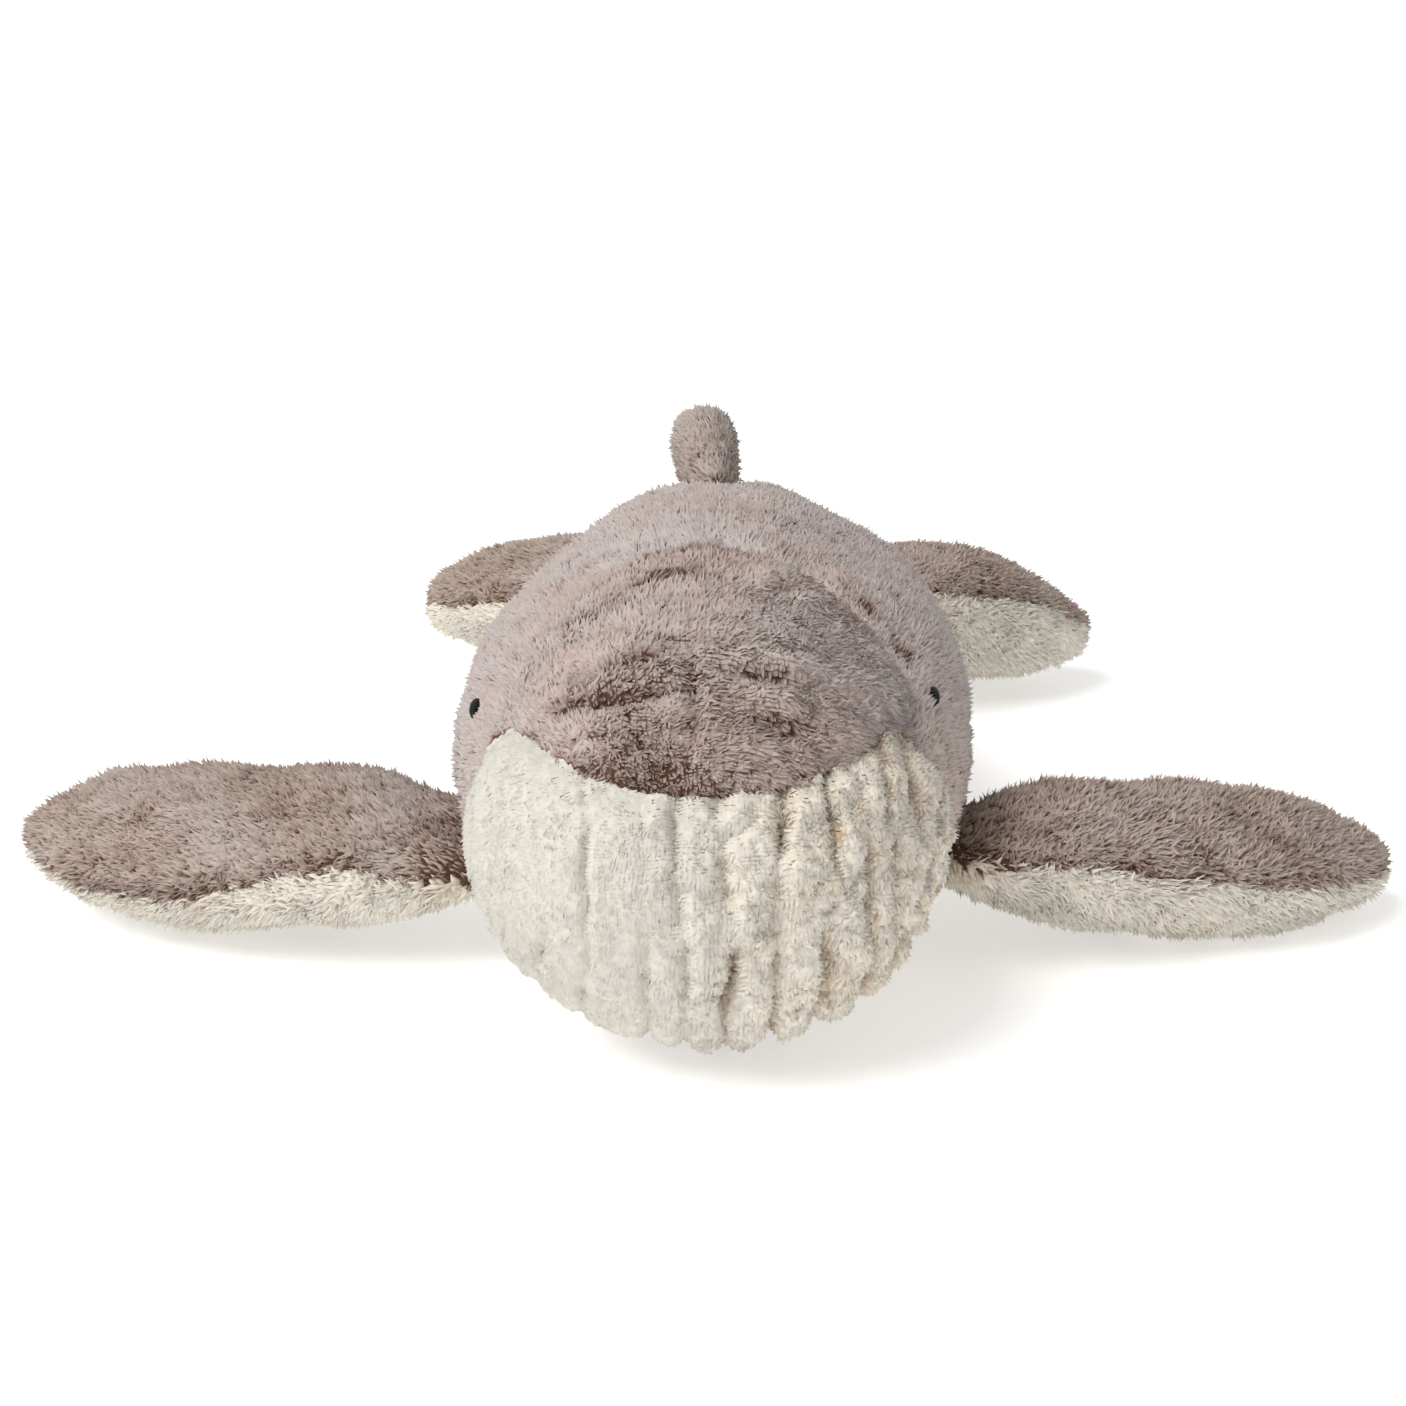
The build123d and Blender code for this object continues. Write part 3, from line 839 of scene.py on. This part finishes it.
def build_fin(context, body, seed):
    """Both panels of a fin, carried in under the body's pile at the root."""
    scene = context.scene
    pile = scene.whale_pile
    cloth = scene.whale_cloth
    fin = body == "dorsal_fin"
    nodes = (f"{body}_panel_left", f"{body}_panel_right") if fin else (f"{body}_top", f"{body}_bottom")
    pattern = Pattern(nodes)
    root, out, seam, upper = fin_frame(body)
    grid = cloth.fin_grid * (0.6 if fin else 1.0)
    form, mesh = stuffed_form(f"{body}_form", f"{body}_stuffing", pattern, grid, 2.5 * MM)
    bm = bmesh.new()
    bm.from_mesh(mesh)
    length = max((vert.co - root).dot(out) for vert in bm.verts)
    drop = SEAM_DROPS.get(body, 0.0)
    panels = []
    for face in bm.faces:
        place = face.calc_center_median()
        share = (place - root).dot(out) / length
        panels.append(pattern.panel(place - upper * (drop * sin(2 * pi * share) * smooth_step(0.0, 0.2, share))))
    bm.faces.ensure_lookup_table()
    tree, _ = seam_tree(bm, panels)
    parted = {}
    strength = 0.4 if fin else 1.0
    for vert in bm.verts:
        place = vert.co
        along = (place - root).dot(out)
        _, _, gap = tree.find(place)
        pucker = 0.7 + 0.6 * noise.noise(place * 70.0 + Vector((seed, 0.0, 0.0)))
        inward = cloth.seam_depth * strength * valley(gap, 0.9 * cloth.seam_width) * pucker
        dents = noise.noise(place * 34.0 + Vector((seed, 2.0, 0.0))) * 2.4 * MM
        inward -= dents * strength * smooth_step(0.0, 20 * MM, along)
        vert.co -= vert.normal * inward
        tuck = 1.0 - smooth_step(0.0, 14 * MM, along)
        vert.co -= out * (tuck * 10 * MM)
        if fin:
            foot = 1.0 - smooth_step(-2 * MM, 24 * MM, along)
            vert.co += seam * ((place - root).dot(seam) * 0.55 * foot)
        # Roots showing and painted shade in the seam's valley, and painted shade towards the fin's root, where it
        # tucks in under the body.
        parted[vert.index] = 0.35 * valley(gap, 4 * MM) + 0.5 * (1.0 - smooth_step(0.0, 22 * MM, along))
    bm.normal_update()
    found = KDTree(len(bm.verts))
    values = []
    for vert in bm.verts:
        found.insert(vert.co, len(values))
        values.append(parted[vert.index])
    found.balance()
    bm.to_mesh(mesh)
    bm.free()
    for index, node in enumerate(nodes):
        cream = node.endswith("bottom")
        root_show_and_shade = -0.02 if cream else -0.16 if fin else 0.32

        def settle(place):
            _, nearest, _ = found.find(place)
            drift = noise.noise(place * 26.0 + Vector((0.0, seed, 0.0)))
            patch = 0.34 * drift + 0.22 * noise.noise(place * 70.0)
            brushed = (0.1 if cream else 0.6 if fin else 0.2) - 0.6 * drift
            return 1.10 + 0.35 * noise.noise(place * 45.0), values[nearest] + root_show_and_shade + patch, max(0.0, brushed)

        bm = bmesh.new()
        bm.from_mesh(mesh)
        bm.faces.ensure_lookup_table()
        keep = {face.index for face in bm.faces if panels[face.index] == index}
        outer = cut_panel(bm, keep, pile.backing)
        nap = out * 0.75 + seam * 0.35
        sizes = [pile.clump * share for share in (1.35, 1.1, 1.1)]
        grow_pile(bm, outer, seed * 10 + index, lambda place: nap, sizes, pile.height, 1.6 * pile.lay, settle,
                  CREAM_PARTING if cream else EDGE_PARTING)
        across = seam
        flat_map(bm, list(bm.faces), lambda place: ((place - root).dot(out), (place - root).dot(across)))
        material = bpy.data.materials["cream pile" if cream else "fin pile"]
        piece = finish_piece(f"{node}_plush", bm, material, None)
        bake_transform(piece)
        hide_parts(node, *([f"{body}_stuffing"] if index == 0 else []))
    bpy.data.objects.remove(form)


class WHALE_OT_flippers(bpy.types.Operator):
    """Make the two padded flippers"""

    bl_idname = "whale.flippers"
    bl_label = "Flippers"

    def execute(self, context):
        build_fin(context, "left_flipper", 3)
        build_fin(context, "right_flipper", 4)
        return {"FINISHED"}


class WHALE_OT_flukes(bpy.types.Operator):
    """Make the two padded lobes of the tail"""

    bl_idname = "whale.flukes"
    bl_label = "Flukes"

    def execute(self, context):
        build_fin(context, "left_fluke", 5)
        build_fin(context, "right_fluke", 6)
        return {"FINISHED"}


class WHALE_OT_dorsal_fin(bpy.types.Operator):
    """Make the small padded fin on the back"""

    bl_idname = "whale.dorsal_fin"
    bl_label = "Dorsal fin"

    def execute(self, context):
        build_fin(context, "dorsal_fin", 7)
        return {"FINISHED"}


# Eyes -------------------------------------------------------------------------------------------------
class WHALE_OT_eyes(bpy.types.Operator):
    """Stitch the two oval eyes"""

    bl_idname = "whale.eyes"
    bl_label = "Stitched eyes"

    def execute(self, context):
        strands = 15
        for node, side in (("eye_left", 1), ("eye_right", -1)):
            low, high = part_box(node)
            middle = (low + high) / 2
            outside = high.x if side > 0 else low.x
            half_high = (high.z - low.z) / 2 * 0.98
            half_long = (high.y - low.y) / 2 * (1.20 if side > 0 else 1.02)
            step = 2 * half_high / strands
            bm = bmesh.new()
            for row in range(strands):
                up = -half_high + (row + 0.5) * step
                share = max(0.05, 1.0 - (up / half_high) ** 2) ** 0.5
                made = bmesh.ops.create_uvsphere(bm, u_segments=10, v_segments=8, radius=1.0)["verts"]
                size = Matrix.Diagonal((1.5 * MM * share + 0.4 * MM, half_long * share, 0.62 * step, 1.0))
                place = Matrix.Translation((outside - side * (0.2 * MM + 0.9 * MM * (1 - share)), middle.y,
                                            middle.z + up))
                slant = Euler((radians(3.0 if row % 2 else -3.0), 0.0, 0.0)).to_matrix().to_4x4()
                tilt = Euler((0.0, side * radians(-7.0 if side > 0 else -13.0), side * radians(-14.0))).to_matrix().to_4x4()
                about = Matrix.Translation((outside, middle.y, middle.z))
                bmesh.ops.transform(bm, matrix=about @ tilt @ about.inverted() @ place @ slant @ size,
                                    verts=made)
            piece = finish_piece(f"{node}_stitching", bm, bpy.data.materials["eye thread"], "body")
            for face in piece.data.polygons:
                face.use_smooth = True
            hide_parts(node)
        return {"FINISHED"}


# Studio -----------------------------------------------------------------------------------------------
class WHALE_OT_stage(bpy.types.Operator):
    """Set out the pale floor, the soft light and the camera"""

    bl_idname = "whale.stage"
    bl_label = "Studio"

    def execute(self, context):
        scene = context.scene
        studio = scene.whale_studio
        bm = bmesh.new()
        bmesh.ops.create_grid(bm, x_segments=1, y_segments=1, size=30.0)
        floor = finish_piece("floor", bm, None, None)
        material, tree, surface = new_material("white floor")
        cloud = spots(tree, 3.0)
        paper = mixed(tree, cloud, (0.94, 0.94, 0.94), (0.96, 0.96, 0.96))
        tree.links.new(paper.socket, surface.inputs["Base Color"])
        surface.inputs["Roughness"].default_value = 0.9
        surface.inputs["Specular IOR Level"].default_value = 0.0
        surface.inputs["Emission Color"].default_value = (1.0, 1.0, 1.0, 1.0)
        surface.inputs["Emission Strength"].default_value = 0.42
        floor.data.materials.clear()
        floor.data.materials.append(material)
        world = bpy.data.worlds.new("white room")
        world.use_nodes = True
        back = world.node_tree.nodes["Background"]
        back.inputs["Color"].default_value = (1.0, 1.0, 1.0, 1.0)
        seen = Wire(world.node_tree, add_node(world.node_tree, "ShaderNodeLightPath").outputs["Is Camera Ray"])
        bright = seen * (1.0 - studio.fill_power) + studio.fill_power
        world.node_tree.links.new(bright.socket, back.inputs["Strength"])
        scene.world = world
        key = bpy.data.lights.new("key", "SUN")
        key.energy = studio.key_power
        key.angle = radians(38.0)
        key.color = (1.0, 0.985, 0.96)
        lamp = bpy.data.objects.new("key", key)
        lamp.rotation_euler = Euler((radians(40.0), 0.0, radians(-50.0)))
        scene.collection.objects.link(lamp)
        lens = bpy.data.cameras.new("camera")
        lens.lens = studio.camera_lens
        lens.sensor_width = 36.0
        camera = bpy.data.objects.new("camera", lens)
        camera.location = studio.camera_place
        camera.rotation_euler = (pi / 2 - studio.camera_pitch, 0.0, 0.0)
        scene.collection.objects.link(camera)
        scene.camera = camera
        scene.view_settings.view_transform = "Standard"
        return {"FINISHED"}


class WHALE_OT_materials(bpy.types.Operator):
    """Make the two plushes and the thread"""

    bl_idname = "whale.materials"
    bl_label = "Plush and thread"

    def execute(self, context):
        dye = context.scene.whale_colours
        taupe = tuple(dye.taupe_tip), tuple(dye.taupe_sheen), tuple(dye.taupe_root_and_shade)
        warmer = tuple(tuple(a * b for a, b in zip(colour, (0.93, 0.92, 0.88))) for colour in taupe)
        cream = tuple(dye.cream_tip), tuple(dye.cream_sheen), tuple(dye.cream_root_and_shade)
        pile_material("forehead pile", *taupe, 0.25, (0.45, 1.0, 1.0))
        pile_material("back pile", *taupe, 0.25, (1.0, 0.22, 1.0))
        pile_material("fin pile", *warmer, 0.15, (0.35, 0.8, 1.0))
        pile_material("cream pile", *cream, 0.10, (1.0, 1.0, 0.5))
        thread_material("eye thread", tuple(dye.thread))
        return {"FINISHED"}


class WHALE_PT_panel(bpy.types.Panel):
    """The whale's sizes, colours and build steps"""

    bl_idname = "WHALE_PT_panel"
    bl_label = "Plush Whale"
    bl_space_type = "VIEW_3D"
    bl_region_type = "UI"
    bl_category = "Plush Whale"

    def draw(self, context):
        for group in SETTINGS:
            settings = getattr(context.scene, group)
            box = self.layout.box()
            for name in settings.bl_rna.properties.keys():
                if name not in ("rna_type", "name"):
                    box.prop(settings, name)
        for step in STEPS:
            self.layout.operator(step.bl_idname)


SETTINGS = {
    "whale_pile": PileSettings,
    "whale_cloth": ClothSettings,
    "whale_colours": ColourSettings,
    "whale_studio": StudioSettings,
}
STEPS = (WHALE_OT_materials, WHALE_OT_body, WHALE_OT_flippers, WHALE_OT_flukes, WHALE_OT_dorsal_fin,
         WHALE_OT_eyes, WHALE_OT_stage)


def register():
    for name, group in SETTINGS.items():
        bpy.utils.register_class(group)
        setattr(bpy.types.Scene, name, PointerProperty(type=group))
    for item in (*STEPS, WHALE_PT_panel):
        bpy.utils.register_class(item)


def unregister():
    for item in (WHALE_PT_panel, *reversed(STEPS)):
        bpy.utils.unregister_class(item)
    for name, group in SETTINGS.items():
        delattr(bpy.types.Scene, name)
        bpy.utils.unregister_class(group)


def main():
    register()
    bpy.ops.whale.materials()
    bpy.ops.whale.body()
    bpy.ops.whale.flippers()
    bpy.ops.whale.flukes()
    bpy.ops.whale.dorsal_fin()
    bpy.ops.whale.eyes()
    bpy.ops.whale.stage()


if __name__ == "__main__":
    main()
